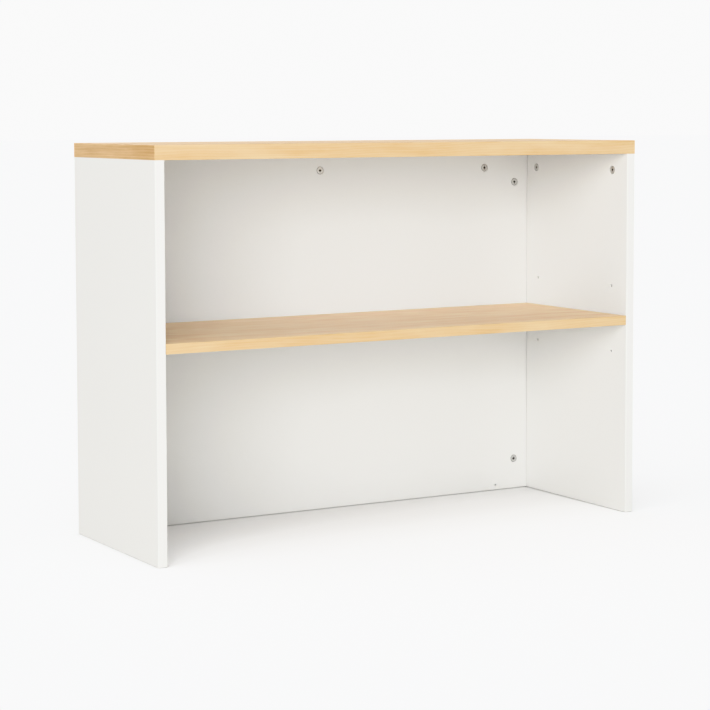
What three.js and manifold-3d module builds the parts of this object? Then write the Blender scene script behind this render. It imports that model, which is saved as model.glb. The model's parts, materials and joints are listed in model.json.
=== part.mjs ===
// A desk hutch: two white side boards and a white back under a thick wood top, with one adjustable wood
// shelf. Cam locks draw the boards together, wooden dowels place them, and the shelf drops over four pins.
// Millimetres, +Z up. The origin is on the desk, under the middle of the hutch. +X runs along its width,
// towards the right end as seen from the front, and -Y faces the person at the desk.
import * as THREE from "three";
import { mergeVertices } from "three/addons/utils/BufferGeometryUtils.js";
import Module from "manifold-3d";

const wasm = await Module();
wasm.setup();

// ---------- Driving dimensions ----------
const WIDTH = 1016;
const DEPTH = 352;
const HEIGHT = 724;
const GRID = 32; // the drilling grid of system furniture

const TOP_THICK = 26;
const SIDE_THICK = 18;
const BACK_THICK = 16;
const SHELF_THICK = 18;
const BAND = 1; // wood edge banding

const CARCASS_HEIGHT = HEIGHT - TOP_THICK;
const HALF_WIDTH = WIDTH / 2;
const FRONT = -DEPTH / 2;
const REAR = DEPTH / 2;
const SIDE_INNER = HALF_WIDTH - SIDE_THICK; // distance of a side board's inner face from the middle
const SIDE_MIDDLE = HALF_WIDTH - SIDE_THICK / 2;
const BACK_FACE = REAR - BACK_THICK; // the back board's front face
const BACK_MIDDLE = REAR - BACK_THICK / 2;

// Shelf
const SHELF_GAP = 0.5; // clearance at each end and at the back, and the set-back of its front edge
const SHELF_HEIGHT = 376; // middle of the shelf, which is the axis of the pins that carry it
const SHELF_FRONT = FRONT + SHELF_GAP;
const SHELF_REAR = BACK_FACE - SHELF_GAP;
const SHELF_HALF = SIDE_INNER - SHELF_GAP;
const SHELF_LOW = SHELF_HEIGHT - SHELF_THICK / 2;
const SHELF_HIGH = SHELF_HEIGHT + SHELF_THICK / 2;

// Shelf pins and the rows of holes that they fit
const PIN_ROWS = [-2 * GRID, 0, 2 * GRID]; // above and below SHELF_HEIGHT
const PIN_FRONT = FRONT + 48; // the front and rear columns of holes
const PIN_REAR = BACK_FACE - 40;
const PIN_R = 2.5;
const PIN_PROUD = 8;
const PIN_IN = 9;
const PIN_DOME = 0.8;
const PIN_HOLE_R = 2.65;
const PIN_HOLE_DEPTH = 10;
const PIN_SLOT_R = 2.8; // the slot in the underside of the shelf that drops over a pin
const PIN_SLOT_LENGTH = 10;

// Cam locks: a zinc drum in a blind pocket grips the head of a steel bolt that stands out of the next board
const CAM_OFFSET = 32; // cam axis to the edge of its board
const CAM_R = 7.35;
const CAM_POCKET_R = 7.6;
const CAM_SUNK = 0.3; // the drum's face lies this far below the board's face
const CAM_BELOW = 4.3; // the drum's reach past the bolt's axis
const CAM_POCKET_BELOW = 4.6;
const CAM_HOLLOW_R = 4.1; // the hollow that holds the bolt's head
const CAM_HOLLOW_SHIFT = 0.3; // it is off centre, which draws the bolt in as the drum turns
const CAM_HOLLOW_ABOVE = 3.7;
const CAM_NECK_HALF = 2.25; // the slot that lets the bolt's neck sweep round the drum
const CAM_ENTRY_HALF = 3.6; // the mouth that lets the head in when the drum is open
const RECESS_DEPTH = 2.8; // cross recess for the screwdriver
const RECESS_SPAN = 6;
const RECESS_BLADE = 1.3;

// Cam bolts, measured from the cam axis along the bolt
const BOLT_HEAD_R = 3.4;
const BOLT_HEAD_BELT = 1; // half the length of the head's widest part
const BOLT_HEAD_HALF = 2.8;
const BOLT_NECK_R = 1.9;
const BOLT_NECK_END = 9;
const BOLT_TAPER = 1; // length of the cones at the neck's end and at the thread's point
const BOLT_BODY_R = 3.4;
const BOLT_HOLE_R = 4;
const BOLT_COLLAR_R = 3.8;
const BOLT_COLLAR = 1.6;
const BOLT_THREAD_R = 3;
const BOLT_THREAD = 11;
const BOLT_THREAD_HOLE_R = 3.25;
const BOLT_THREAD_HOLE_DEPTH = 12;

// Wooden dowels
const DOWEL_R = 3.95;
const DOWEL_LENGTH = 30;
const DOWEL_CHAMFER = 1.2;
const DOWEL_HOLE_R = 4.15;
const DOWEL_IN_FACE = 11.5; // depth of its hole in the face of the board that it meets
const DOWEL_SPARE = 0.5; // spare depth at each end of the dowel

// Holes along the foot of the back board, for screwing it to the desk
const DESK_HOLE_R = 2.25;
const DESK_HOLE_X = 413;
const DESK_HOLE_Z = 10;

// Where the joints are
const SIDE_CAM_Y = 4 * GRID; // each side board has a cam this far in front of and behind the middle
const SIDE_DOWEL_Y = 3 * GRID;
const BACK_CAM_X = 12 * GRID;
const BACK_DOWEL_X = 11 * GRID;
const BACK_CAM_END = 62; // from the back board's lower and upper edges to the cams at its ends
const BACK_CAM_LOW = BACK_CAM_END;
const BACK_CAM_HIGH = CARCASS_HEIGHT - BACK_CAM_END;
const BACK_DOWEL_LOW = BACK_CAM_LOW + GRID;
const BACK_DOWEL_HIGH = BACK_CAM_HIGH - GRID;

// Facets round a circle
const ROUND = 24;
const SMALL = 16;
const TINY = 12;
const PAST = 1; // how far a cutter reaches past the face it breaks through

// ---------- Materials ----------
const wood = new THREE.MeshStandardMaterial({ color: 0xe8cfa4, roughness: 0.5, metalness: 0 });
const white = new THREE.MeshStandardMaterial({ color: 0xeeeeea, roughness: 0.45, metalness: 0 });
const zinc = new THREE.MeshStandardMaterial({ color: 0xa8a8a2, roughness: 0.4, metalness: 0.9 });
const steel = new THREE.MeshStandardMaterial({ color: 0xb9bcc0, roughness: 0.3, metalness: 1 });
const beech = new THREE.MeshStandardMaterial({ color: 0xd9b98c, roughness: 0.7, metalness: 0 });

// ---------- Solids ----------
const X = new THREE.Vector3(1, 0, 0);
const Y = new THREE.Vector3(0, 1, 0);
const Z = new THREE.Vector3(0, 0, 1);
const at = (x, y, z) => new THREE.Vector3(x, y, z);
const along = (start, direction, distance) => start.clone().addScaledVector(direction, distance);

function toSolid(geometry) {
  const bare = geometry.clone();
  bare.deleteAttribute("normal");
  bare.deleteAttribute("uv");
  const merged = mergeVertices(bare, 1e-4);
  const vertProperties = new Float32Array(merged.attributes.position.array);
  const triVerts = new Uint32Array(merged.index.array);
  return new wasm.Manifold(new wasm.Mesh({ numProp: 3, vertProperties, triVerts }));
}

function toGeometry(solid) {
  const mesh = solid.getMesh();
  const geometry = new THREE.BufferGeometry();
  geometry.setAttribute("position", new THREE.BufferAttribute(mesh.vertProperties, 3));
  geometry.setIndex(new THREE.BufferAttribute(mesh.triVerts, 1));
  geometry.computeVertexNormals();
  return geometry;
}

// A block between two opposite corners.
function block(low, high) {
  const size = high.clone().sub(low);
  const middle = low.clone().add(high).multiplyScalar(0.5);
  return new THREE.BoxGeometry(size.x, size.y, size.z).translate(middle.x, middle.y, middle.z);
}

// A round bar from start, along a unit direction.
function bar(radius, start, direction, length, sides) {
  const turn = new THREE.Quaternion().setFromUnitVectors(Y, direction);
  const middle = along(start, direction, length / 2);
  const geometry = new THREE.CylinderGeometry(radius, radius, length, sides);
  return geometry.applyQuaternion(turn).translate(middle.x, middle.y, middle.z);
}

// A turned piece, whose profile [radius, distance] runs along +Y.
function turned(profile, sides) {
  const points = profile.map(([radius, distance]) => new THREE.Vector2(radius, distance));
  return new THREE.LatheGeometry(points, sides);
}

function cut(geometry, cutters) {
  return toGeometry(cutters.reduce((solid, cutter) => solid.subtract(toSolid(cutter)), toSolid(geometry)));
}

const hutch = new THREE.Group();

function add(name, geometry, material) {
  const mesh = new THREE.Mesh(geometry, material);
  mesh.name = name;
  hutch.add(mesh);
  return mesh;
}

// ---------- Where each lock, dowel and pin sits ----------
// A lock has its cam axis at "axis", on the bolt's centre line. "out" points out of the board's face, and
// "bolt" along the bolt, into the next board. "deep" is how far the bolt's axis lies below the face.
const topLocks = [-1, 1].flatMap((side) =>
  [-1, 1].map((row) => ({
    name: `${row < 0 ? "front" : "rear"}_of_${side < 0 ? "left" : "right"}_side`,
    axis: at(side * SIDE_MIDDLE, row * SIDE_CAM_Y, CARCASS_HEIGHT - CAM_OFFSET),
    out: at(-side, 0, 0),
    bolt: Z,
    deep: SIDE_THICK / 2,
    side,
  })),
);
const backTopLocks = [-1, 0, 1].map((place) => ({
  name: `top_${["left", "middle", "right"][place + 1]}_of_back`,
  axis: at(place * BACK_CAM_X, BACK_MIDDLE, CARCASS_HEIGHT - CAM_OFFSET),
  out: at(0, -1, 0),
  bolt: Z,
  deep: BACK_THICK / 2,
}));
const backSideLocks = [-1, 1].flatMap((side) =>
  [BACK_CAM_LOW, BACK_CAM_HIGH].map((height) => ({
    name: `${height === BACK_CAM_LOW ? "lower" : "upper"}_${side < 0 ? "left" : "right"}_of_back`,
    axis: at(side * (SIDE_INNER - CAM_OFFSET), BACK_MIDDLE, height),
    out: at(0, -1, 0),
    bolt: at(side, 0, 0),
    deep: BACK_THICK / 2,
    side,
  })),
);

// A dowel crosses a joint at "joint", pointing into the face of the second board along "into".
const sideDowels = [-1, 1].flatMap((side) =>
  [-1, 1].map((row) => ({
    name: `${row < 0 ? "front" : "rear"}_of_${side < 0 ? "left" : "right"}_side`,
    joint: at(side * SIDE_MIDDLE, row * SIDE_DOWEL_Y, CARCASS_HEIGHT),
    into: Z,
    side,
  })),
);
const backTopDowels = [-1, 1].map((side) => ({
  name: `top_${side < 0 ? "left" : "right"}_of_back`,
  joint: at(side * BACK_DOWEL_X, BACK_MIDDLE, CARCASS_HEIGHT),
  into: Z,
}));
const backSideDowels = [-1, 1].flatMap((side) =>
  [BACK_DOWEL_LOW, BACK_DOWEL_HIGH].map((height) => ({
    name: `${height === BACK_DOWEL_LOW ? "lower" : "upper"}_${side < 0 ? "left" : "right"}_of_back`,
    joint: at(side * SIDE_INNER, BACK_MIDDLE, height),
    into: at(side, 0, 0),
    side,
  })),
);

const pins = [-1, 1].flatMap((side) =>
  [PIN_FRONT, PIN_REAR].map((y) => ({
    name: `${y === PIN_FRONT ? "front" : "rear"}_${side < 0 ? "left" : "right"}`,
    face: at(side * SIDE_INNER, y, SHELF_HEIGHT), // where the pin leaves the side board
    into: at(side, 0, 0),
    side,
  })),
);

// ---------- Cutters ----------
// The blind pocket for the drum, and the hole for the bolt from the pocket to the board's edge.
function lockCutters({ axis, out, bolt, deep }) {
  const bottom = along(axis, out, -CAM_POCKET_BELOW);
  return [
    bar(CAM_POCKET_R, bottom, out, CAM_POCKET_BELOW + deep + PAST, ROUND),
    bar(BOLT_HOLE_R, axis, bolt, CAM_OFFSET + PAST, SMALL),
  ];
}

function threadCutter({ axis, bolt }) {
  const start = along(axis, bolt, CAM_OFFSET - PAST);
  return bar(BOLT_THREAD_HOLE_R, start, bolt, BOLT_THREAD_HOLE_DEPTH + PAST, TINY);
}

function dowelEdgeCutter({ joint, into }) {
  const depth = DOWEL_LENGTH + 2 * DOWEL_SPARE - DOWEL_IN_FACE;
  return bar(DOWEL_HOLE_R, along(joint, into, PAST), into.clone().negate(), depth + PAST, SMALL);
}

function dowelFaceCutter({ joint, into }) {
  return bar(DOWEL_HOLE_R, along(joint, into, -PAST), into, DOWEL_IN_FACE + PAST, SMALL);
}

function pinHoleCutters({ face, into }) {
  return PIN_ROWS.map((row) => {
    const start = along(along(face, Z, row), into, -PAST);
    return bar(PIN_HOLE_R, start, into, PIN_HOLE_DEPTH + PAST, SMALL);
  });
}

// The slot runs up from the underside of the shelf to a round ceiling over the pin, and is open at the
// shelf's end.
function pinSlotCutters({ face, into }) {
  const inner = Math.abs(face.x) - SHELF_GAP - PIN_SLOT_LENGTH;
  const outer = Math.abs(face.x) + PAST;
  const [low, high] = into.x > 0 ? [inner, outer] : [-outer, -inner];
  return [
    block(at(low, face.y - PIN_SLOT_R, SHELF_LOW - PAST), at(high, face.y + PIN_SLOT_R, SHELF_HEIGHT)),
    bar(PIN_SLOT_R, at(low, face.y, SHELF_HEIGHT), X, high - low, SMALL),
  ];
}

// ---------- Wood top ----------
const topBolts = [...topLocks, ...backTopLocks];
const topDowels = [...sideDowels, ...backTopDowels];
add(
  "top_board",
  cut(
    block(
      at(-HALF_WIDTH + BAND, FRONT + BAND, CARCASS_HEIGHT),
      at(HALF_WIDTH - BAND, REAR - BAND, HEIGHT),
    ),
    [...topBolts.map(threadCutter), ...topDowels.map(dowelFaceCutter)],
  ),
  wood,
);
add(
  "top_front_edge_band",
  block(at(-HALF_WIDTH, FRONT, CARCASS_HEIGHT), at(HALF_WIDTH, FRONT + BAND, HEIGHT)),
  wood,
);
add(
  "top_rear_edge_band",
  block(at(-HALF_WIDTH, REAR - BAND, CARCASS_HEIGHT), at(HALF_WIDTH, REAR, HEIGHT)),
  wood,
);
for (const side of [-1, 1]) {
  const inner = side * (HALF_WIDTH - BAND);
  const outer = side * HALF_WIDTH;
  add(
    side < 0 ? "top_left_edge_band" : "top_right_edge_band",
    block(
      at(Math.min(inner, outer), FRONT + BAND, CARCASS_HEIGHT),
      at(Math.max(inner, outer), REAR - BAND, HEIGHT),
    ),
    wood,
  );
}

// ---------- White side boards and back ----------
for (const side of [-1, 1]) {
  const onThisSide = (piece) => piece.side === side;
  const inner = side * SIDE_INNER;
  const outer = side * HALF_WIDTH;
  add(
    side < 0 ? "left_side_board" : "right_side_board",
    cut(block(at(Math.min(inner, outer), FRONT, 0), at(Math.max(inner, outer), REAR, CARCASS_HEIGHT)), [
      ...topLocks.filter(onThisSide).flatMap(lockCutters),
      ...sideDowels.filter(onThisSide).map(dowelEdgeCutter),
      ...backSideLocks.filter(onThisSide).map(threadCutter),
      ...backSideDowels.filter(onThisSide).map(dowelFaceCutter),
      ...pins.filter(onThisSide).flatMap(pinHoleCutters),
    ]),
    white,
  );
}

const backLocks = [...backTopLocks, ...backSideLocks];
const deskHoles = [-1, 1].map((side) =>
  bar(DESK_HOLE_R, at(side * DESK_HOLE_X, BACK_FACE - PAST, DESK_HOLE_Z), Y, BACK_THICK + 2 * PAST, SMALL),
);
add(
  "back_board",
  cut(block(at(-SIDE_INNER, BACK_FACE, 0), at(SIDE_INNER, REAR, CARCASS_HEIGHT)), [
    ...backLocks.flatMap(lockCutters),
    ...backTopDowels.map(dowelEdgeCutter),
    ...backSideDowels.map(dowelEdgeCutter),
    ...deskHoles,
  ]),
  white,
);

// ---------- Wood shelf ----------
add(
  "shelf_board",
  cut(
    block(at(-SHELF_HALF, SHELF_FRONT + BAND, SHELF_LOW), at(SHELF_HALF, SHELF_REAR, SHELF_HIGH)),
    pins.flatMap(pinSlotCutters),
  ),
  wood,
);
add(
  "shelf_front_edge_band",
  block(at(-SHELF_HALF, SHELF_FRONT, SHELF_LOW), at(SHELF_HALF, SHELF_FRONT + BAND, SHELF_HIGH)),
  wood,
);

// ---------- Shelf pins ----------
const pinProfile = [
  [0, -PIN_PROUD],
  [PIN_R - PIN_DOME, -PIN_PROUD],
  [PIN_R, -PIN_PROUD + PIN_DOME],
  [PIN_R, PIN_IN - PIN_DOME],
  [PIN_R - PIN_DOME, PIN_IN],
  [0, PIN_IN],
];
for (const pin of pins) {
  const mesh = add(`shelf_pin_${pin.name}`, turned(pinProfile, SMALL), steel);
  mesh.position.copy(pin.face);
  mesh.quaternion.setFromUnitVectors(Y, pin.into);
}

// ---------- Cam locks ----------
// The drum in its own frame: +Z out of the board, +X along the bolt, and the origin where their axes cross.
function drum(deep) {
  const face = deep - CAM_SUNK;
  const reach = CAM_R + PAST;
  const hollow = bar(
    CAM_HOLLOW_R,
    at(-CAM_HOLLOW_SHIFT, 0, -CAM_BELOW - PAST),
    Z,
    CAM_BELOW + PAST + CAM_HOLLOW_ABOVE,
    SMALL,
  );
  const neckSweep = block(at(-reach, -reach, -CAM_NECK_HALF), at(reach, CAM_NECK_HALF, CAM_NECK_HALF));
  const mouth = block(
    at(-reach, -CAM_ENTRY_HALF, -CAM_BELOW - PAST),
    at(0, CAM_ENTRY_HALF, CAM_HOLLOW_ABOVE),
  );
  const blades = [0, 1].map((turn) =>
    new THREE.BoxGeometry(RECESS_SPAN, RECESS_BLADE, RECESS_DEPTH + PAST)
      .rotateZ((turn * Math.PI) / 2)
      .translate(0, 0, face - RECESS_DEPTH / 2 + PAST / 2),
  );
  const body = bar(CAM_R, at(0, 0, -CAM_BELOW), Z, CAM_BELOW + face, ROUND);
  return cut(body, [hollow, neckSweep, mouth, ...blades]);
}

// The bolt along +Y from the cam's axis: a head, a thin neck, a shank, a collar and the thread.
const boltProfile = [
  [0, -BOLT_HEAD_HALF],
  [BOLT_NECK_R, -BOLT_HEAD_HALF],
  [BOLT_HEAD_R, -BOLT_HEAD_BELT],
  [BOLT_HEAD_R, BOLT_HEAD_BELT],
  [BOLT_NECK_R, BOLT_HEAD_HALF],
  [BOLT_NECK_R, BOLT_NECK_END],
  [BOLT_BODY_R, BOLT_NECK_END + BOLT_TAPER],
  [BOLT_BODY_R, CAM_OFFSET - BOLT_COLLAR],
  [BOLT_COLLAR_R, CAM_OFFSET - BOLT_COLLAR],
  [BOLT_COLLAR_R, CAM_OFFSET],
  [BOLT_THREAD_R, CAM_OFFSET],
  [BOLT_THREAD_R, CAM_OFFSET + BOLT_THREAD - BOLT_TAPER],
  [BOLT_THREAD_R - BOLT_TAPER, CAM_OFFSET + BOLT_THREAD],
  [0, CAM_OFFSET + BOLT_THREAD],
];
for (const lock of [...topLocks, ...backTopLocks, ...backSideLocks]) {
  const across = lock.out.clone().cross(lock.bolt);
  const cam = add(`cam_lock_${lock.name}`, drum(lock.deep), zinc);
  cam.position.copy(lock.axis);
  cam.setRotationFromMatrix(new THREE.Matrix4().makeBasis(lock.bolt, across, lock.out));
  const bolt = add(`cam_bolt_${lock.name}`, turned(boltProfile, TINY), steel);
  bolt.position.copy(lock.axis);
  bolt.quaternion.setFromUnitVectors(Y, lock.bolt);
}

// ---------- Wooden dowels ----------
const dowelEnd = DOWEL_IN_FACE - DOWEL_SPARE;
const dowelStart = dowelEnd - DOWEL_LENGTH;
const dowelProfile = [
  [0, dowelStart],
  [DOWEL_R - DOWEL_CHAMFER, dowelStart],
  [DOWEL_R, dowelStart + DOWEL_CHAMFER],
  [DOWEL_R, dowelEnd - DOWEL_CHAMFER],
  [DOWEL_R - DOWEL_CHAMFER, dowelEnd],
  [0, dowelEnd],
];
for (const dowel of [...sideDowels, ...backTopDowels, ...backSideDowels]) {
  const mesh = add(`dowel_${dowel.name}`, turned(dowelProfile, TINY), beech);
  mesh.position.copy(dowel.joint);
  mesh.quaternion.setFromUnitVectors(Y, dowel.into);
}

export default hutch;
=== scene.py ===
import json
import math

import bmesh
import bpy
from mathutils import Matrix, Vector


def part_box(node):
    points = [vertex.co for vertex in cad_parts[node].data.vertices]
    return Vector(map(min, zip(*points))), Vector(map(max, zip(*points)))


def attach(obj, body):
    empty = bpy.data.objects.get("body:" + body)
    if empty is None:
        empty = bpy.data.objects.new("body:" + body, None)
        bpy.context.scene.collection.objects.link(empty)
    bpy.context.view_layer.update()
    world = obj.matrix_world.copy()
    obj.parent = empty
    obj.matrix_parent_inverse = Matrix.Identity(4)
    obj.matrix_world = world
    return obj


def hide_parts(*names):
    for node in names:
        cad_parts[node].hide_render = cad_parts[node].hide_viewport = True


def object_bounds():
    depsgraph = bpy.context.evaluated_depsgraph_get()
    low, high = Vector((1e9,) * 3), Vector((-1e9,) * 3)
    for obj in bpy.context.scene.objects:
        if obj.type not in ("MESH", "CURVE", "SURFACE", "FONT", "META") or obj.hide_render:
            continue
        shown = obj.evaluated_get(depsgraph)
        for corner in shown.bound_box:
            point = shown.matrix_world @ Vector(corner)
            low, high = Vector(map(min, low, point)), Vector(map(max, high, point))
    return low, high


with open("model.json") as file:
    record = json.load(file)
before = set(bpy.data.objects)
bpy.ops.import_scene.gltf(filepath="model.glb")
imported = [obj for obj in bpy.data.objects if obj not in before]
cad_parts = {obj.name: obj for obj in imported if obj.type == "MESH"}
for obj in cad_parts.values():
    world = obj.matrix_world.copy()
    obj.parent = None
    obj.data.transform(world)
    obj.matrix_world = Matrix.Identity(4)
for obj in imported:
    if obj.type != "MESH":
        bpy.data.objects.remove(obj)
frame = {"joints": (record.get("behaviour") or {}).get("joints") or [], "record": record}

MM = 0.001
X, Y, Z = Vector((1, 0, 0)), Vector((0, 1, 0)), Vector((0, 0, 1))
cad_low, cad_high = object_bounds()

# ---------- Camera ----------
# The camera stands in front of the hutch and to its left, looks a little down, and is shifted down, so that
# upright edges stay nearly upright.
CAMERA_PLACE = Vector((-2.008, -3.424, 0.773))
CAMERA_TURN = math.radians(30.2)  # from straight on, towards the right
CAMERA_DOWN = math.radians(4.06)
CAMERA_ROLL = math.radians(-0.13)

camera_data = bpy.data.cameras.new("camera")
camera_data.lens = 106.9
camera_data.sensor_width = 36
camera_data.shift_y = -0.1268
camera = bpy.data.objects.new("camera", camera_data)
bpy.context.scene.collection.objects.link(camera)
bpy.context.scene.camera = camera
camera.matrix_world = (
    Matrix.Translation(CAMERA_PLACE)
    @ Matrix.Rotation(-CAMERA_TURN, 4, "Z")
    @ Matrix.Rotation(math.pi / 2 - CAMERA_DOWN, 4, "X")
    @ Matrix.Rotation(CAMERA_ROLL, 4, "Z")
)

# ---------- Node helpers ----------


def add(tree, kind, inputs=None, **settings):
    """A new shader node. Each input is a value, or the output of another node."""
    node = tree.nodes.new("ShaderNode" + kind)
    for key, value in settings.items():
        setattr(node, key, value)
    for key, value in (inputs or {}).items():
        if isinstance(value, bpy.types.NodeSocket):
            tree.links.new(value, node.inputs[key])
        else:
            node.inputs[key].default_value = value
    return node


def new_material(name, **sockets):
    """A material with a Principled shader whose sockets hold these values."""
    material = bpy.data.materials.new(name)
    material.use_nodes = True
    tree = material.node_tree
    shader = tree.nodes["Principled BSDF"]
    for key, value in sockets.items():
        shader.inputs[key.replace("_", " ")].default_value = value
    return material, tree, shader


def mapped(tree, scale, turn=0.0, shift=(0, 0, 0)):
    """The piece's own coordinates, turned about Z and then stretched."""
    place = add(tree, "TexCoord").outputs["Object"]
    turned = add(tree, "Mapping", {"Vector": place, "Rotation": (0, 0, turn), "Location": shift})
    return add(tree, "Mapping", {"Vector": turned.outputs[0], "Scale": scale}).outputs[0]


def noise(tree, vector, detail, rough=0.5):
    inputs = {"Vector": vector, "Scale": 1.0, "Detail": detail, "Roughness": rough}
    return add(tree, "TexNoise", inputs).outputs[0]


def spread(tree, value, low, high, new_low, new_high):
    """value, with low to high carried to new_low to new_high and held there."""
    inputs = {"Value": value, "From Min": low, "From Max": high, "To Min": new_low, "To Max": new_high}
    return add(tree, "MapRange", inputs).outputs[0]


def mixed(tree, factor, first, second):
    """Two colours mixed by factor."""
    node = add(tree, "Mix", data_type="RGBA")
    for index, value in ((0, factor), (6, first), (7, second)):
        if isinstance(value, bpy.types.NodeSocket):
            tree.links.new(value, node.inputs[index])
        else:
            node.inputs[index].default_value = value
    return node.outputs[2]


def worked(tree, operation, first, second):
    return add(tree, "Math", {0: first, 1: second}, operation=operation).outputs[0]


def light_path(tree, output):
    return add(tree, "LightPath").outputs[output]


def relief(tree, shader, height, strength, distance):
    bump = add(tree, "Bump", {"Height": height, "Strength": strength, "Distance": distance})
    tree.links.new(bump.outputs[0], shader.inputs["Normal"])


# ---------- Materials ----------
# The scales of the wood's patterns, along the grain and across it. A larger number is a finer pattern.
BEND_SCALE = (1.3, 5, 5)
RING_SCALE = (0.02, 1, 1)
BROAD_SCALE = (2.2, 26, 26)
PATCH_SCALE = (8, 42, 42)
STREAK_SCALE = (5, 260, 260)
FIBRE_SCALE = (30, 1500, 1500)
FLECK_SCALE = (120, 2600, 2600)
RING_BEND = (0, 0.11, 0.11)  # how far the rings waver across the grain
RING_WAVE = {"Scale": 62.0, "Distortion": 1.2, "Detail": 2.0, "Detail Scale": 3.0}
FLECK_TINT = (0.72, 0.62, 0.5)  # of the deep colour
WOOD_BOUNCE = (0.685, 0.632, 0.575, 1)


def wood_material(name, pale, deep, turn=0.0, shift=(0, 0, 0)):
    """Sanded and lacquered pale veneer, whose grain runs along X, or along Y when it is turned."""
    material, tree, shader = new_material(name, Coat_Weight=0.35, Coat_Roughness=0.28)
    # Growth rings, nearly parallel to the board, so that they show as long, wavering lines.
    bend = noise(tree, mapped(tree, BEND_SCALE, turn, shift), detail=2)
    bent = add(tree, "VectorMath", {0: bend, 1: RING_BEND}, operation="MULTIPLY").outputs[0]
    place = mapped(tree, RING_SCALE, turn, shift)
    moved = add(tree, "VectorMath", {0: bent, 1: place}, operation="ADD").outputs[0]
    wave = {"Vector": moved, **RING_WAVE}
    rings = add(tree, "TexWave", wave, wave_type="RINGS", rings_direction="X").outputs[1]
    broad = noise(tree, mapped(tree, BROAD_SCALE, turn, shift), detail=3, rough=0.55)
    streaks = noise(tree, mapped(tree, STREAK_SCALE, turn, shift), detail=3, rough=0.6)
    fibres = noise(tree, mapped(tree, FIBRE_SCALE, turn, shift), detail=2, rough=0.6)
    flecks = noise(tree, mapped(tree, FLECK_SCALE, turn, shift), detail=1)
    patches = noise(tree, mapped(tree, PATCH_SCALE, turn, shift), detail=3, rough=0.6)
    tone = worked(tree, "MULTIPLY", spread(tree, broad, 0.3, 0.7, 0, 1), 0.5)
    tone = worked(tree, "ADD", tone, spread(tree, patches, 0.3, 0.7, -0.28, 0.28))
    tone = worked(tree, "ADD", tone, worked(tree, "MULTIPLY", rings, 0.22))
    tone = worked(tree, "ADD", tone, spread(tree, streaks, 0.3, 0.7, -0.05, 0.3))
    tone = worked(tree, "ADD", tone, spread(tree, fibres, 0.35, 0.65, -0.08, 0.08))
    colour = mixed(tree, tone, pale, deep)
    dark = spread(tree, flecks, 0.66, 0.76, 0, 0.3)
    fleck_colour = (*(part * tint for part, tint in zip(deep, FLECK_TINT)), 1)
    colour = mixed(tree, dark, colour, fleck_colour)
    # The light that it throws on the white boards is paler than its colour.
    colour = mixed(tree, light_path(tree, "Is Diffuse Ray"), colour, WOOD_BOUNCE)
    tree.links.new(colour, shader.inputs["Base Color"])
    tree.links.new(spread(tree, streaks, 0.3, 0.7, 0.36, 0.46), shader.inputs["Roughness"])
    relief(tree, shader, worked(tree, "ADD", fibres, dark), strength=0.25, distance=0.00004)
    return material


WHITES = ((0.867, 0.868, 0.857, 1), (0.877, 0.878, 0.867, 1))
CLOUD_SCALE = (6, 6, 6)
PEEL_SCALE = (700, 700, 700)


def white_material(name):
    """Smooth satin white lacquer with the faintest orange peel."""
    material, tree, shader = new_material(name)
    cloud = noise(tree, mapped(tree, CLOUD_SCALE), detail=2)
    tree.links.new(mixed(tree, cloud, *WHITES), shader.inputs["Base Color"])
    tree.links.new(spread(tree, cloud, 0.3, 0.7, 0.38, 0.44), shader.inputs["Roughness"])
    relief(tree, shader, noise(tree, mapped(tree, PEEL_SCALE), detail=2), strength=0.06, distance=0.00005)
    return material


RECESS_SKIN_AND_SHADE = "recess_skin_and_shade"  # 0 on open faces, up to 1 in a recess: painted shade that deepens down the recess, over the darker casting skin and dirt that stay there
RECESS_SKIN_AND_SHADE_COLOUR = (0.035, 0.033, 0.03, 1)
PATCH_GRAINS = 9  # how many grains wide a patch of one tone is


def metal_material(name, light, dark, roughness, grain):
    """Cast or plated metal, with fine grains and a slight change of tone, and with painted shade over its
    darker skin in its recesses.
    """
    material, tree, shader = new_material(name, Metallic=0.9)
    grains = noise(tree, mapped(tree, (grain,) * 3), detail=3, rough=0.65)
    patches = noise(tree, mapped(tree, (grain / PATCH_GRAINS,) * 3), detail=2)
    colour = mixed(tree, spread(tree, patches, 0.3, 0.7, 0, 1), light, dark)
    # Painted shade in the recesses, over the metal's darker skin there, as the drum's attribute gives it.
    recess_skin_and_shade = add(tree, "Attribute", attribute_name=RECESS_SKIN_AND_SHADE).outputs["Fac"]
    tree.links.new(mixed(tree, recess_skin_and_shade, colour, RECESS_SKIN_AND_SHADE_COLOUR), shader.inputs["Base Color"])
    uneven = spread(tree, grains, 0.3, 0.7, roughness - 0.07, roughness + 0.1)
    tree.links.new(uneven, shader.inputs["Roughness"])
    relief(tree, shader, grains, strength=0.15, distance=0.00004)
    return material


# Each wood's and each metal's pale and deep colours
FACE_TONES = ((1.0, 0.745, 0.425, 1), (0.86, 0.505, 0.19, 1))
EDGE_TONES = ((0.808, 0.629, 0.385, 1), (0.629, 0.409, 0.184, 1))
END_TONES = ((0.81, 0.57, 0.312, 1), (0.55, 0.308, 0.089, 1))
DOWEL_TONES = ((0.72, 0.50, 0.30, 1), (0.62, 0.40, 0.22, 1))
ZINC_TONES = ((0.70, 0.70, 0.69, 1), (0.60, 0.60, 0.59, 1))
STEEL_TONES = ((0.62, 0.63, 0.64, 1), (0.52, 0.53, 0.55, 1))
EDGE_SHIFT = (0.4, 0.03, 0.2)  # so that a band's pattern differs from the board's
END_SHIFT = (0.2, 0.1, 0.3)
MATERIALS = {
    "wood_face": wood_material("wood_face", *FACE_TONES),
    "wood_edge": wood_material("wood_edge", *EDGE_TONES, shift=EDGE_SHIFT),
    "white_board": white_material("white_board"),
    "zinc": metal_material("zinc", *ZINC_TONES, roughness=0.45, grain=3000),
    "bright_steel": metal_material("bright_steel", *STEEL_TONES, roughness=0.28, grain=2200),
    "dowel_wood": wood_material("dowel_wood", *DOWEL_TONES),
}
# The bands on the top's two ends, whose grain runs from front to rear
end_band_material = wood_material("wood_edge_end", *END_TONES, turn=math.pi / 2, shift=END_SHIFT)

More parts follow.
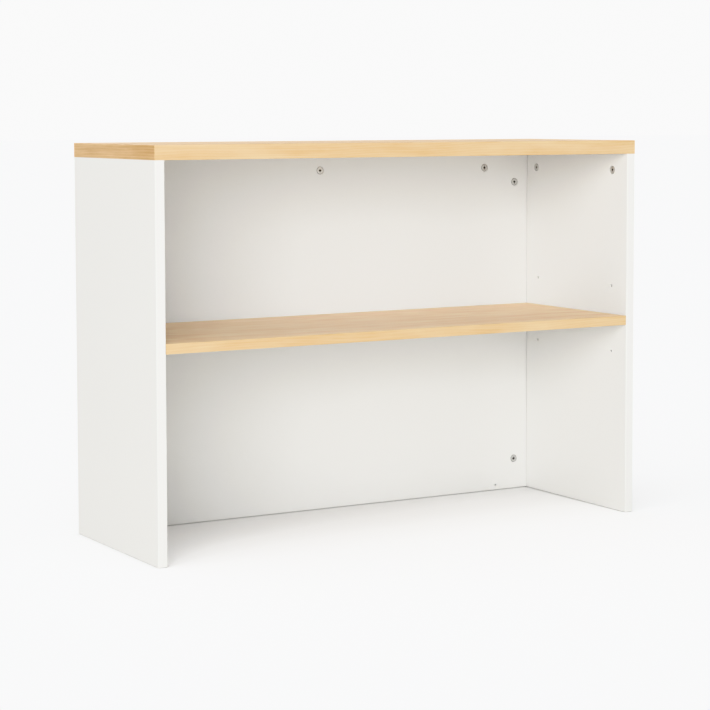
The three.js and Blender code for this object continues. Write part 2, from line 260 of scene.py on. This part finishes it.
# ---------- Mesh helpers ----------
SHARP = math.radians(35)
SLIVER = MM / 1000  # the width of a face that is no more than a rounding error
BODY_OF = {node: body for body, nodes in frame["record"]["behaviour"]["bodies"].items() for node in nodes}
SLOT_OF = {part["node"]: part["material_slot"] for part in frame["record"]["subparts"]}


def finished(node, mesh, material=None):
    """Puts a mesh, made in the part's own frame, in place of a CAD node."""
    made = bpy.data.objects.new(node + "_finished", mesh)
    bpy.context.scene.collection.objects.link(made)
    mesh.materials.clear()
    mesh.materials.append(material or MATERIALS[SLOT_OF[node]])
    mesh.shade_smooth()
    mesh.set_sharp_from_angle(angle=SHARP)
    made.modifiers.new("even_shading", "WEIGHTED_NORMAL").keep_sharp = True
    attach(made, BODY_OF[node])
    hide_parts(node)


def mesh_of(made):
    mesh = bpy.data.meshes.new("mesh")
    bmesh.ops.recalc_face_normals(made, faces=made.faces)
    made.to_mesh(mesh)
    made.free()
    return mesh


def lathe(profile, sides, twist=None):
    """A closed solid turned about Z from a profile of (radius, height) that starts and ends on the axis.
    twist(angle, radius, height) changes a radius as it goes round."""
    made = bmesh.new()
    rings = []
    for radius, height in profile:
        if radius == 0:
            rings.append([made.verts.new((0, 0, height))])
            continue
        ring = []
        for step in range(sides):
            angle = 2 * math.pi * step / sides
            reach = twist(angle, radius, height) if twist else radius
            ring.append(made.verts.new((reach * math.cos(angle), reach * math.sin(angle), height)))
        rings.append(ring)
    for low, high in zip(rings, rings[1:]):
        for step in range(sides):
            after = (step + 1) % sides
            corners = [low[step % len(low)], low[after % len(low)]]
            corners += [high[after % len(high)], high[step % len(high)]]
            made.faces.new(list(dict.fromkeys(corners)))
    return mesh_of(made)


def eased_box(low, high, ease, joined=()):
    """A box whose edges are rounded, apart from those that lie in a joined plane, given as (axis, place)."""
    made = bmesh.new()
    bmesh.ops.create_cube(made, size=1)
    size, middle = high - low, (high + low) / 2
    for vert in made.verts:
        vert.co = Vector(a * b for a, b in zip(vert.co, size)) + middle

    def is_free(edge):
        return not any(
            all(abs(vert.co[axis] - place) < MM / 100 for vert in edge.verts) for axis, place in joined
        )

    free = [edge for edge in made.edges if is_free(edge)]
    if free:
        bmesh.ops.bevel(
            made, geom=free, offset=ease, segments=3, profile=0.5, affect="EDGES", clamp_overlap=True
        )
    return mesh_of(made)


def aimed(origin, direction, across):
    """The matrix that carries +Z to direction and +X to across, from the origin to a point."""
    side = direction.cross(across)
    turn = Matrix((across, side, direction)).transposed().to_4x4()
    return Matrix.Translation(origin) @ turn


def placed(mesh, matrix):
    mesh.transform(matrix)
    return mesh


def joined_mesh(meshes):
    made = bmesh.new()
    for mesh in meshes:
        made.from_mesh(mesh)
        bpy.data.meshes.remove(mesh)
    return mesh_of(made)


def cut(solid, cutters):
    """Takes cutters, which stay clear of each other, out of a solid."""
    if not cutters:
        return solid
    body = bpy.data.objects.new("body", solid)
    tool = bpy.data.objects.new("tool", joined_mesh(cutters))
    for made in (body, tool):
        bpy.context.scene.collection.objects.link(made)
    modifier = body.modifiers.new("cut", "BOOLEAN")
    modifier.operation = "DIFFERENCE"
    modifier.solver = "EXACT"
    modifier.object = tool
    bpy.context.view_layer.update()
    result = bpy.data.meshes.new_from_object(body.evaluated_get(bpy.context.evaluated_depsgraph_get()))
    for made in (body, tool):
        mesh = made.data
        bpy.data.objects.remove(made)
        bpy.data.meshes.remove(mesh)
    # Slivers are left where a cutter's ring lies almost in the face that it breaks through.
    clean = bmesh.new()
    clean.from_mesh(result)
    bmesh.ops.dissolve_degenerate(clean, dist=SLIVER, edges=clean.edges)
    clean.to_mesh(result)
    clean.free()
    return result


# ---------- Layout, from the frame ----------
PAST = 1 * MM  # how far a cutter reaches past the face it breaks through
CAM_OFFSET = 32 * MM  # cam axis to the edge of its board
BOX = {node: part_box(node) for node in SLOT_OF}


def centre(node):
    low, high = BOX[node]
    return (low + high) / 2


def main_axis(vector):
    """The axis of the frame that a vector lies closest to, with its sign."""
    axis = max(range(3), key=lambda i: abs(vector[i]))
    return Vector(math.copysign(1, vector[axis]) if i == axis else 0 for i in range(3))


def next_board(direction):
    """The board that a bolt or dowel runs into."""
    if direction.z:
        return "top_board"
    return "right_side_board" if direction.x > 0 else "left_side_board"


def home_board(node):
    """The board whose edge a fitting stands in, such as back_board for cam_lock_top_left_of_back."""
    return node.split("_of_")[1] + "_board"


def lock_layout():
    """Every cam lock: its node, its bolt's node, where their axes cross, and both directions."""
    locks = []
    for joint in frame["joints"]:
        if joint["type"] != "hinge":
            continue
        node = frame["record"]["behaviour"]["bodies"][joint["child"]][0]
        bolt = node.replace("cam_lock", "cam_bolt")
        axis = Vector(joint["pos_m"])
        out = Vector(joint["axis"])
        along = main_axis(centre(bolt) - axis)
        face = [corner.dot(out) for corner in BOX[home_board(node)]]
        locks.append(
            {
                "node": node,
                "bolt": bolt,
                "axis": axis,
                "out": out,
                "along": along,
                "home": home_board(node),
                "next": next_board(along),
                "deep": max(face) - axis.dot(out),
            }
        )
    return locks


def dowel_layout():
    """Every dowel: its node, where it crosses the joint, its direction, its length and both its boards."""
    dowels = []
    for node in sorted(SLOT_OF):
        if not node.startswith("dowel_"):
            continue
        low, high = BOX[node]
        middle = centre(node)
        size = high - low
        along = Z.copy() if size.z > size.x else Vector((math.copysign(1, middle.x), 0, 0))
        edge = max(corner.dot(along) for corner in BOX[home_board(node)])
        joint = middle + along * (edge - middle.dot(along))
        dowels.append(
            {
                "node": node,
                "joint": joint,
                "along": along,
                "length": max(size),
                "home": home_board(node),
                "next": next_board(along),
            }
        )
    return dowels


LOCKS = lock_layout()
DOWELS = dowel_layout()
PINS = sorted(node for node in SLOT_OF if node.startswith("shelf_pin_"))

# ---------- Holes ----------
POCKET_R = 7.75 * MM
POCKET_BELOW = 4.6 * MM  # how far a pocket goes on past its lock's bolt axis
BOLT_HOLE_R = 4 * MM
THREAD_HOLE_R = 3.25 * MM
THREAD_HOLE_DEPTH = 12 * MM
DOWEL_HOLE_R = 4.15 * MM
DOWEL_IN_FACE = 11.5 * MM
DOWEL_SPARE = 0.5 * MM
PIN_HOLE_R = 2.65 * MM
PIN_HOLE_DEPTH = 10 * MM
PIN_ROW_STEP = 64 * MM
PIN_SLOT_R = 2.8 * MM
PIN_SLOT_LENGTH = 10 * MM
DESK_HOLE_R = 2.25 * MM
DESK_HOLE_X = 413 * MM
DESK_HOLE_Z = 10 * MM
RIM_STEPS = 4
RIM = 0.2 * MM  # how far a hole's rim is rounded
FINE_RIM = 0.15 * MM
DESK_HOLE_RIM = 0.3 * MM


def drill(mouth, out, radius, depth, rim, sides=40, point=0.25):
    """A cutter for a round hole from a point on a face. Its rim is rounded, and it ends in a drill's cone."""
    rounding = [
        (radius + rim * (1 - math.cos(a)), -rim + rim * math.sin(a))
        for a in (math.pi / 2 * step / RIM_STEPS for step in range(RIM_STEPS + 1))
    ]
    profile = [(0, -depth - point * radius), (radius, -depth), *rounding, (radius + rim, PAST), (0, PAST)]
    across = X if abs(out.x) < 0.5 else Y
    return placed(lathe(profile, sides), aimed(mouth, out, across))


def lock_pocket(lock):
    mouth = lock["axis"] + lock["out"] * lock["deep"]
    return drill(mouth, lock["out"], POCKET_R, POCKET_BELOW + lock["deep"], RIM, sides=64, point=0)


def bolt_hole(lock):
    mouth = lock["axis"] + lock["along"] * CAM_OFFSET
    return drill(mouth, lock["along"], BOLT_HOLE_R, CAM_OFFSET, RIM, point=0)


def thread_hole(lock):
    mouth = lock["axis"] + lock["along"] * CAM_OFFSET
    return drill(mouth, -lock["along"], THREAD_HOLE_R, THREAD_HOLE_DEPTH, FINE_RIM)


def dowel_edge_hole(dowel):
    depth = dowel["length"] + 2 * DOWEL_SPARE - DOWEL_IN_FACE
    return drill(dowel["joint"], dowel["along"], DOWEL_HOLE_R, depth, RIM)


def dowel_face_hole(dowel):
    return drill(dowel["joint"], -dowel["along"], DOWEL_HOLE_R, DOWEL_IN_FACE, FINE_RIM)


def pin_face(node):
    """Where a shelf pin leaves its side board, and the direction out of that board."""
    middle = centre(node)
    side = math.copysign(1, middle.x)
    inner = min(abs(corner.x) for corner in BOX["right_side_board"])
    return Vector((side * inner, middle.y, middle.z)), Vector((-side, 0, 0))


def pin_holes(node):
    face, out = pin_face(node)
    return [
        drill(face + Z * row * PIN_ROW_STEP, out, PIN_HOLE_R, PIN_HOLE_DEPTH, RIM, sides=32)
        for row in (-1, 0, 1)
    ]


def pin_slot(node):
    """The slot in the shelf over a pin: a box up to the pin's axis with a round ceiling."""
    face, out = pin_face(node)
    low, high = BOX["shelf_board"]
    end = min(abs(low.x), abs(high.x))
    reaches = (end - PIN_SLOT_LENGTH, end + PAST)
    inner, outer = sorted(math.copysign(reach, face.x) for reach in reaches)
    steps = 12
    outline = [
        (PIN_SLOT_R * math.cos(a), PIN_SLOT_R * math.sin(a))
        for a in (math.pi * step / steps for step in range(steps + 1))
    ]
    drop = face.z - low.z + PAST
    outline += [(-PIN_SLOT_R, -drop), (PIN_SLOT_R, -drop)]
    made = bmesh.new()
    ends = [[made.verts.new((x, face.y + y, face.z + z)) for y, z in outline] for x in (inner, outer)]
    for ring in ends:
        made.faces.new(ring)
    for step in range(len(outline)):
        after = (step + 1) % len(outline)
        made.faces.new((ends[0][step], ends[0][after], ends[1][after], ends[1][step]))
    return mesh_of(made)


# ---------- Boards ----------
WHITE_EASE = 2.0 * MM
BACK_GAP = 0.15 * MM  # between each end of the back board and its side board
SHELF_EASE = 0.5 * MM
BAND_EASE = 0.8 * MM


def white_board(node):
    low, high = BOX[node]
    gap = X * BACK_GAP if node == "back_board" else Vector()
    mesh = eased_box(low + gap, high - gap, WHITE_EASE, [(2, high.z)])
    mesh = cut(mesh, [lock_pocket(lock) for lock in LOCKS if lock["home"] == node])
    mesh = cut(mesh, [bolt_hole(lock) for lock in LOCKS if lock["home"] == node])
    holes = [dowel_edge_hole(dowel) for dowel in DOWELS if dowel["home"] == node]
    holes += [thread_hole(lock) for lock in LOCKS if lock["next"] == node]
    holes += [dowel_face_hole(dowel) for dowel in DOWELS if dowel["next"] == node]
    if node == "back_board":
        for side in (-1, 1):
            mouth = Vector((side * DESK_HOLE_X, low.y, DESK_HOLE_Z))
            depth = high.y - low.y + PAST
            holes.append(drill(mouth, -Y, DESK_HOLE_R, depth, DESK_HOLE_RIM, sides=32))
    else:
        for pin in PINS:
            if pin.split("_")[-1] == node.split("_")[0]:
                holes += pin_holes(pin)
    finished(node, cut(mesh, holes))


def top_board():
    low, high = BOX["top_board"]
    joined = [(0, low.x), (0, high.x), (1, low.y), (1, high.y)]
    mesh = eased_box(low, high, 0, joined)
    holes = [thread_hole(lock) for lock in LOCKS if lock["next"] == "top_board"]
    holes += [dowel_face_hole(dowel) for dowel in DOWELS if dowel["next"] == "top_board"]
    finished("top_board", cut(mesh, holes))


def top_bands():
    low, high = BOX["top_board"]
    for place, inner in (("front", low.y), ("rear", high.y)):
        node = f"top_{place}_edge_band"
        finished(node, eased_box(*BOX[node], BAND_EASE, [(1, inner)]))
    for place, inner in (("left", low.x), ("right", high.x)):
        node = f"top_{place}_edge_band"
        mesh = eased_box(*BOX[node], BAND_EASE, [(0, inner), (1, low.y), (1, high.y)])
        finished(node, mesh, end_band_material)


def shelf():
    low, high = BOX["shelf_board"]
    mesh = eased_box(low, high, SHELF_EASE, [(1, low.y)])
    finished("shelf_board", cut(mesh, [pin_slot(pin) for pin in PINS]))
    finished("shelf_front_edge_band", eased_box(*BOX["shelf_front_edge_band"], BAND_EASE, [(1, low.y)]))


for board in ("left_side_board", "right_side_board", "back_board"):
    white_board(board)
top_board()
top_bands()
shelf()

# ---------- Cam locks ----------
CAM_R = 7.25 * MM
CAM_SUNK = 0.3 * MM
CAM_BELOW = 4.3 * MM
HOLLOW_R = 4.1 * MM
HOLLOW_SHIFT = 0.3 * MM
HOLLOW_ABOVE = 3.7 * MM
NECK_HALF = 2.25 * MM
ENTRY_HALF = 3.6 * MM
RECESS_DEPTH = 2.8 * MM
RECESS_REACH = 4 * MM
RECESS_LENGTH = 6.4 * MM
RECESS_WIDTH = 1.7 * MM
RECESS_TAPER = (0.72, 0.7)  # an arm's length and width at its floor, of those at its mouth
STAR_LENGTH = 3.4 * MM  # the small arms between the recess's own
STAR_WIDTH = 0.5 * MM
STAR_DEPTH = 1.2 * MM
CONE_LOW_R = 1.5 * MM
CONE_HIGH_R = 2.3 * MM
DRUM_EDGE = 0.5 * MM
ARROW_TIP = 6.4 * MM
ARROW_BASE = 4.8 * MM
ARROW_HALF = 1.0 * MM
ARROW_DEPTH = 0.25 * MM
RECESS_SHADE_GAIN = 1.6  # how fast painted shade darkens a recess, so that it is quite dark well above its floor
RIM_SHADE = 0.8  # painted shade, like that in a recess, round the drum's side and most of its rounded edge


def plain_box(low, high):
    planes = [(axis, place[axis]) for place in (low, high) for axis in range(3)]
    return eased_box(Vector(low), Vector(high), 0, planes)


def blade(length, width, depth, face, turn):
    """One tapered arm of the screwdriver's recess, sunk from the drum's face."""
    mesh = plain_box((-length / 2, -width / 2, -depth), (length / 2, width / 2, PAST))
    for vert in mesh.vertices:
        if vert.co.z < 0:
            vert.co.x *= RECESS_TAPER[0]
            vert.co.y *= RECESS_TAPER[1]
    return placed(mesh, Matrix.Translation((0, 0, face)) @ Matrix.Rotation(turn, 4, "Z"))


def arrow(face):
    """A shallow triangle by the rim, which points at the drum's mouth."""
    outline = ((-ARROW_TIP, 0), (-ARROW_BASE, ARROW_HALF), (-ARROW_BASE, -ARROW_HALF))
    made = bmesh.new()
    levels = [[made.verts.new((x, y, face + z)) for x, y in outline] for z in (-ARROW_DEPTH, PAST)]
    for level in levels:
        made.faces.new(level)
    for step in range(3):
        after = (step + 1) % 3
        made.faces.new((levels[0][step], levels[0][after], levels[1][after], levels[1][step]))
    return mesh_of(made)


def drum(deep):
    """The drum in its own frame: +Z out of the board, +X along the bolt, origin where their axes cross."""
    face = deep - CAM_SUNK
    edge = DRUM_EDGE
    angles = (0, 0.5, 1.0, 1.57)  # round a quarter turn
    corner = [(CAM_R - edge * (1 - math.cos(a)), face - edge + edge * math.sin(a)) for a in angles]
    chamfer = [(CAM_R - edge, -CAM_BELOW), (CAM_R, -CAM_BELOW + edge)]
    profile = [(0, -CAM_BELOW), *chamfer, *corner, (0, face)]
    reach = CAM_R + PAST
    below = -CAM_BELOW - PAST
    hollow = placed(
        lathe([(0, below), (HOLLOW_R, below), (HOLLOW_R, HOLLOW_ABOVE), (0, HOLLOW_ABOVE)], 40),
        Matrix.Translation((-HOLLOW_SHIFT, 0, 0)),
    )
    mesh = cut(lathe(profile, 72), [hollow])
    mesh = cut(mesh, [plain_box((-reach, -reach, -NECK_HALF), (reach, NECK_HALF, NECK_HALF))])
    mesh = cut(mesh, [plain_box((-reach, -ENTRY_HALF, below), (0, ENTRY_HALF, HOLLOW_ABOVE))])
    for turn in (0, math.pi / 2):
        mesh = cut(mesh, [blade(RECESS_LENGTH, RECESS_WIDTH, RECESS_DEPTH, face, turn)])
    for turn in (math.pi / 4, -math.pi / 4):
        mesh = cut(mesh, [blade(STAR_LENGTH, STAR_WIDTH, STAR_DEPTH, face, turn)])
    floor_at = face - RECESS_DEPTH
    cone = [(0, floor_at), (CONE_LOW_R, floor_at), (CONE_HIGH_R, face), (CONE_HIGH_R, face + PAST)]
    mesh = cut(mesh, [lathe([*cone, (0, face + PAST)], 24)])
    mesh = cut(mesh, [arrow(face)])
    # Paints shade into the drum: darker down the recess, and round its side and rim.
    shade = mesh.attributes.new(RECESS_SKIN_AND_SHADE, "FLOAT", "POINT")
    for vert, value in zip(mesh.vertices, shade.data):
        in_recess = vert.co.z > HOLLOW_ABOVE + 0.1 * MM and vert.co.xy.length < RECESS_REACH
        if in_recess:
            value.value = min(1, RECESS_SHADE_GAIN * (face - vert.co.z) / RECESS_DEPTH)
        elif vert.co.xy.length > CAM_R - edge / 2:
            value.value = RIM_SHADE
    return mesh


DRUMS = {}
for lock in LOCKS:
    deep = round(lock["deep"], 5)
    if deep not in DRUMS:
        DRUMS[deep] = drum(deep)
    finished(lock["node"], placed(DRUMS[deep].copy(), aimed(lock["axis"], lock["out"], lock["along"])))

# ---------- Cam bolts ----------
HEAD_R = 3.4 * MM
HEAD_HALF = 2.8 * MM  # half the head's height
HEAD_STEPS = 14
NECK_START = 2.6 * MM
NECK_R = 1.9 * MM
NECK_END = 9 * MM
SHANK_R = 3.4 * MM
COLLAR_R = 3.8 * MM
COLLAR = 1.6 * MM
COLLAR_CHAMFER = 0.2 * MM
SHANK_CHAMFER = 1 * MM
THREAD = 11 * MM
THREAD_TIP = 1 * MM
THREAD_TIP_R = 1.2 * MM
THREAD_CREST = 3 * MM
THREAD_ROOT = 2.2 * MM
THREAD_PITCH = 2.4 * MM
THREAD_FLANK = 0.32  # from crest to root, of the pitch
ROWS_A_TURN = 10


def thread(angle, radius, height):
    """The radius of a coarse wood thread, which rises with the angle and runs out at both ends."""
    start, end = CAM_OFFSET, CAM_OFFSET + THREAD - THREAD_TIP
    if not start < height < end:
        return radius
    phase = (height / THREAD_PITCH - angle / (2 * math.pi)) % 1
    rise = max(0, 1 - abs(phase - 0.5) / THREAD_FLANK)
    run_out = min(1, (height - start) / MM, (end - height) / MM)
    return THREAD_ROOT + (THREAD_CREST - THREAD_ROOT) * rise * run_out


def bolt():
    """The bolt along +Z from the cam's axis: a ball-shaped head, a neck, a shank, a collar and the thread."""
    arc = [math.pi * step / HEAD_STEPS for step in range(1, HEAD_STEPS)]
    head = [(0, -HEAD_HALF)]
    # The ball stops short of its end, where the neck leaves it.
    head += [(HEAD_R * math.sin(a), -HEAD_HALF * math.cos(a)) for a in arc if math.cos(a) > -0.8]
    collar_start = CAM_OFFSET - COLLAR
    shank = [
        (NECK_R, NECK_START),
        (NECK_R, NECK_END),
        (SHANK_R, NECK_END + SHANK_CHAMFER),
        (SHANK_R, collar_start),
        (COLLAR_R - COLLAR_CHAMFER, collar_start),
        (COLLAR_R, collar_start + COLLAR_CHAMFER),
        (COLLAR_R, CAM_OFFSET - COLLAR_CHAMFER),
        (COLLAR_R - COLLAR_CHAMFER, CAM_OFFSET),
    ]
    rows = round(THREAD / THREAD_PITCH * ROWS_A_TURN)
    screw = [(THREAD_ROOT, CAM_OFFSET + (THREAD - THREAD_TIP) * row / rows) for row in range(rows + 1)]
    point = [(THREAD_TIP_R, CAM_OFFSET + THREAD), (0, CAM_OFFSET + THREAD)]
    return lathe([*head, *shank, *screw, *point], 32, thread)


bolt_mesh = bolt()
for lock in LOCKS:
    finished(lock["bolt"], placed(bolt_mesh.copy(), aimed(lock["axis"], lock["along"], lock["out"])))

# ---------- Dowels ----------
DOWEL_R = 3.95 * MM
DOWEL_CHAMFER = 1.2 * MM
FLUTES = 16
FLUTE_DEPTH = 0.35 * MM


def fluted(angle, radius, height):
    return radius - FLUTE_DEPTH * max(0, math.cos(FLUTES * angle)) ** 2


def dowel(length):
    """A fluted dowel about its middle, along Z, with chamfered ends."""
    half = length / 2
    profile = [
        (0, -half),
        (DOWEL_R - DOWEL_CHAMFER, -half),
        (DOWEL_R, -half + DOWEL_CHAMFER),
        (DOWEL_R, 0),
        (DOWEL_R, half - DOWEL_CHAMFER),
        (DOWEL_R - DOWEL_CHAMFER, half),
        (0, half),
    ]
    return lathe(profile, FLUTES * 6, fluted)


for each in DOWELS:
    across = X if each["along"].z else Z
    place = aimed(centre(each["node"]), each["along"], across)
    finished(each["node"], placed(dowel(each["length"]), place))

# ---------- Shelf pins ----------
PIN_R = 2.5 * MM
PIN_PROUD = 8 * MM
PIN_IN = 9 * MM
PIN_DOME = 0.8 * MM
PIN_RINGS = 5
PIN_RING_START = -7.5 * MM
PIN_RING_STEP = 1.3 * MM
PIN_GROOVE = 0.2 * MM
PIN_GROOVE_PLACES = (0.25 * MM, 0.6 * MM)  # its floor's start and end, from the start of its ring
PIN_GROOVE_END = 0.85 * MM


def shelf_pin():
    """A steel pin along +Z, out of the board from the board's face, with rounded ends and gripping rings."""
    dome = PIN_DOME
    arc = [math.pi / 2 * step / 4 for step in range(5)]
    inner = [(PIN_R - dome + dome * math.sin(a), -PIN_IN + dome - dome * math.cos(a)) for a in arc]
    rings = []
    for ring in range(PIN_RINGS):
        start = PIN_RING_START + ring * PIN_RING_STEP
        groove = [(PIN_R - PIN_GROOVE, start + place) for place in PIN_GROOVE_PLACES]
        rings += [(PIN_R, start), *groove, (PIN_R, start + PIN_GROOVE_END)]
    outer = [(PIN_R - dome + dome * math.cos(a), PIN_PROUD - dome + dome * math.sin(a)) for a in arc]
    return lathe([(0, -PIN_IN), *inner, *rings, *outer, (0, PIN_PROUD)], 32)


pin_mesh = shelf_pin()
for node in PINS:
    face, out = pin_face(node)
    finished(node, placed(pin_mesh.copy(), aimed(face, out, Z)))

# ---------- Floor and light ----------
FLOOR_HALF = 60.0
floor_mesh = bpy.data.meshes.new("floor")
corners = [(-FLOOR_HALF, -FLOOR_HALF, 0), (FLOOR_HALF, -FLOOR_HALF, 0)]
corners += [(FLOOR_HALF, FLOOR_HALF, 0), (-FLOOR_HALF, FLOOR_HALF, 0)]
floor_mesh.from_pydata(corners, [], [(0, 1, 2, 3)])
floor = bpy.data.objects.new("floor", floor_mesh)
bpy.context.scene.collection.objects.link(floor)

# The floor looks nearly white, and throws back less light than that, which keeps the boards' shadows.
FLOOR_SEEN = (0.925, 0.927, 0.932, 1)
FLOOR_BOUNCE = (0.53, 0.52, 0.495, 1)
# How far from the hutch shade is painted into the floor's colour, and what would be left of its colour where
# it was quite hidden:
# first broadly, and then in the thin dark line by the boards' feet.
FLOOR_SHADES = ((250 * MM, 0.9), (14 * MM, 0.35))
floor_material, floor_tree, floor_shader = new_material("floor", Roughness=0.9, Specular_IOR_Level=0.1)
shade = 1.0
for reach, left in FLOOR_SHADES:
    occlusion = add(floor_tree, "AmbientOcclusion", {"Distance": reach}, samples=8).outputs["AO"]
    shade = worked(floor_tree, "MULTIPLY", shade, spread(floor_tree, occlusion, 0, 1, left, 1))
floor_seen = mixed(floor_tree, shade, (0, 0, 0, 1), FLOOR_SEEN)
floor_colour = mixed(floor_tree, light_path(floor_tree, "Is Camera Ray"), FLOOR_BOUNCE, floor_seen)
floor_tree.links.new(floor_colour, floor_shader.inputs["Base Color"])
floor_mesh.materials.append(floor_material)

# The studio around the floor: bright where it is seen, paler in reflections, and faint as a light.
WORLD_SEEN = 1.8
WORLD_REFLECTED = 0.7
WORLD_LIGHT = 0.1
world = bpy.data.worlds.new("studio")
world.use_nodes = True
world_tree = world.node_tree
seen = worked(world_tree, "MULTIPLY", light_path(world_tree, "Is Camera Ray"), WORLD_SEEN)
reflected = worked(world_tree, "MULTIPLY", light_path(world_tree, "Is Glossy Ray"), WORLD_REFLECTED)
lighting = worked(world_tree, "MULTIPLY", light_path(world_tree, "Is Diffuse Ray"), WORLD_LIGHT)
strength = worked(world_tree, "ADD", seen, worked(world_tree, "ADD", reflected, lighting))
world_tree.nodes["Background"].inputs["Color"].default_value = (1, 1, 1, 1)
world_tree.links.new(strength, world_tree.nodes["Background"].inputs["Strength"])
bpy.context.scene.world = world

# Soft lamps, each with its azimuth from the front towards the right, its elevation and its strength. The
# hutch has broad distant lamps, and soft boxes near it, whose light falls off towards the back. The floor has
# lamps of its own, each with its width, so that it is evenly pale, with a soft shadow round the hutch.
DISTANT_WIDTH = math.radians(30)
DISTANT_LAMPS = {
    "low_front_left": (-40, 5, 0.344),
    "left": (-60, 8, 0.195),
    "high_front": (-15, 30, 0.115),
    "front_right": (35, 15, 0.107),
    "overhead": (0, 88, 0.32),
    "behind_right": (120, 20, 0.45),
    "behind": (180, 20, 0.2),
}
BOX_SIZE = 1.0
BOX_AWAY = 2.4  # from the middle of the hutch
SOFT_BOXES = {
    "box_left": (-45, 10, 0.155),
    "box_high_left": (-40, 30, 0.092),
    "box_front": (10, 8, 0.08),
}
FLOOR_LAMPS = {
    "floor_side": (-55, 55, 0.53, math.radians(60)),
    "floor_broad": (-60, 60, 1.54, math.radians(120)),
}

floor_alone = bpy.data.collections.new("floor_alone")
all_but_floor = bpy.data.collections.new("all_but_floor")
for receivers in (floor_alone, all_but_floor):
    receivers.objects.link(floor)
all_but_floor.collection_objects[0].light_linking.link_state = "EXCLUDE"


def new_lamp(name, kind, azimuth, elevation, energy, receivers):
    """A lamp over the middle of the hutch, turned so that its light comes from this direction."""
    lamp_data = bpy.data.lights.new(name, kind)
    lamp_data.energy = energy
    lamp = bpy.data.objects.new(name, lamp_data)
    bpy.context.scene.collection.objects.link(lamp)
    turn, rise = math.radians(azimuth), math.radians(elevation)
    towards = Vector((math.sin(turn) * math.cos(rise), -math.cos(turn) * math.cos(rise), math.sin(rise)))
    lamp.location = (cad_low + cad_high) / 2 + towards * BOX_AWAY
    lamp.rotation_euler = towards.to_track_quat("Z", "Y").to_euler()
    lamp.light_linking.receiver_collection = receivers
    lamp.visible_camera = False
    return lamp_data


for name, (azimuth, elevation, share) in DISTANT_LAMPS.items():
    new_lamp(name, "SUN", azimuth, elevation, math.pi * share, all_but_floor).angle = DISTANT_WIDTH
for name, (azimuth, elevation, share, width) in FLOOR_LAMPS.items():
    new_lamp(name, "SUN", azimuth, elevation, math.pi * share, floor_alone).angle = width
for name, (azimuth, elevation, share) in SOFT_BOXES.items():
    # As much light at the middle of the hutch as a distant lamp of that strength gives.
    energy = (math.pi * BOX_AWAY) ** 2 * share
    new_lamp(name, "AREA", azimuth, elevation, energy, all_but_floor).size = BOX_SIZE

bpy.context.scene.view_settings.view_transform = "Khronos PBR Neutral"
